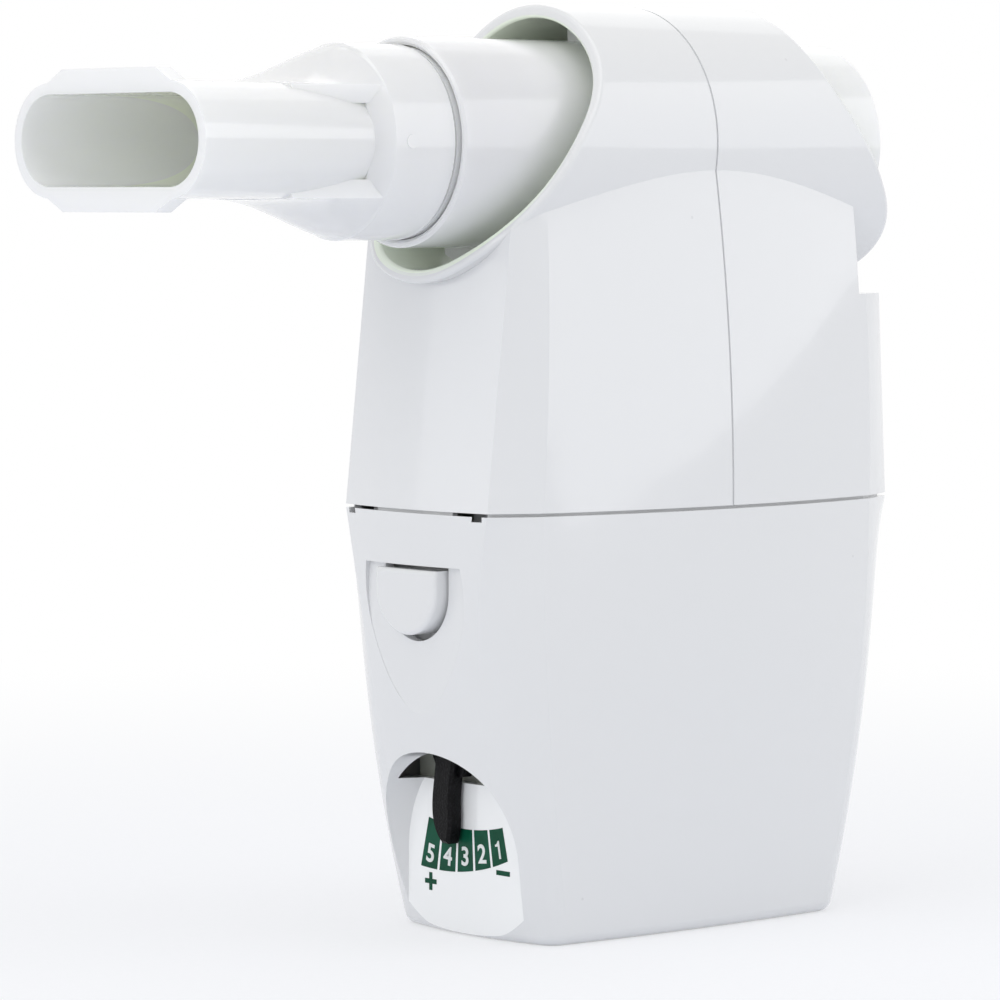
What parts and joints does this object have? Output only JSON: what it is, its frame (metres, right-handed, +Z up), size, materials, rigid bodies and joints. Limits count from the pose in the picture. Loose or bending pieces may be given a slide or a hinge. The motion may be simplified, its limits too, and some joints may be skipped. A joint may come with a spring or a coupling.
{
  "type": "oscillating positive expiratory pressure device",
  "caption": "Hand-held oscillating expiratory pressure device with a flat mouthpiece, a hooded breathing tube, a two-part casing and a numbered resistance lever.",
  "frame": {"origin": "centre of the flat underside of the lower casing, on the surface that the device stands on", "axes": "+Z up, -X from the casing towards the mouthpiece along the breathing tube, Y across the casing"},
  "size_m": [0.1106, 0.0388, 0.1107],
  "materials": {
    "casing_white": "moulded gloss",
    "tube_white": "moulded gloss",
    "inner_white": "moulded satin",
    "lever_black": "fine grain texture",
    "steel": "ground",
    "silicone": "translucent silicone"
  },
  "bodies": {
    "device": {"lower_casing": "casing_white", "upper_casing_front": "casing_white", "upper_casing_rear": "casing_white", "breathing_tube": "tube_white", "chamber_lower": "inner_white", "chamber_upper": "inner_white", "chamber_seal": "silicone", "tube_gasket": "silicone", "bulkhead_bush": "inner_white", "rear_bush": "inner_white", "variable_nozzle": "silicone", "nozzle_retainer": "inner_white", "valve_seat": "inner_white"},
    "mouthpiece": {"mouthpiece": "tube_white"},
    "front_latch": {"front_latch": "casing_white"},
    "rear_latch": {"rear_latch": "casing_white"},
    "lever": {"resistance_lever": "lever_black"},
    "rotor": {"rotor_shaft": "steel", "vane": "inner_white", "restrictor": "inner_white"},
    "flap": {"valve_flap": "silicone"}
  },
  "joints": [
    {"name": "mouthpiece_pull", "type": "slide", "parent": "device", "child": "mouthpiece", "axis": [-1, 0, 0], "range_m": [0, 0.015]},
    {"name": "lever_turn", "type": "hinge", "parent": "device", "child": "lever", "pos_m": [-0.025, 0, 0.041], "axis": [1, 0, 0], "range_deg": [-15.6, 7.6]},
    {"name": "rotor_swing", "type": "hinge", "parent": "device", "child": "rotor", "pos_m": [0, 0, 0.041], "axis": [1, 0, 0], "range_deg": [-40, 40]},
    {"name": "front_latch_press", "type": "hinge", "parent": "device", "child": "front_latch", "pos_m": [-0.02908, 0, 0.03], "axis": [0, 1, 0], "range_deg": [0, 5], "stiffness_Nm_per_rad": 0.3},
    {"name": "rear_latch_press", "type": "hinge", "parent": "device", "child": "rear_latch", "pos_m": [0.02908, 0, 0.03], "axis": [0, -1, 0], "range_deg": [0, 5], "stiffness_Nm_per_rad": 0.3},
    {"name": "flap_open", "type": "hinge", "parent": "device", "child": "flap", "pos_m": [0.0181, 0, 0.1037], "axis": [0, 1, 0], "range_deg": [0, 45], "stiffness_Nm_per_rad": 0.00002}
  ]
}
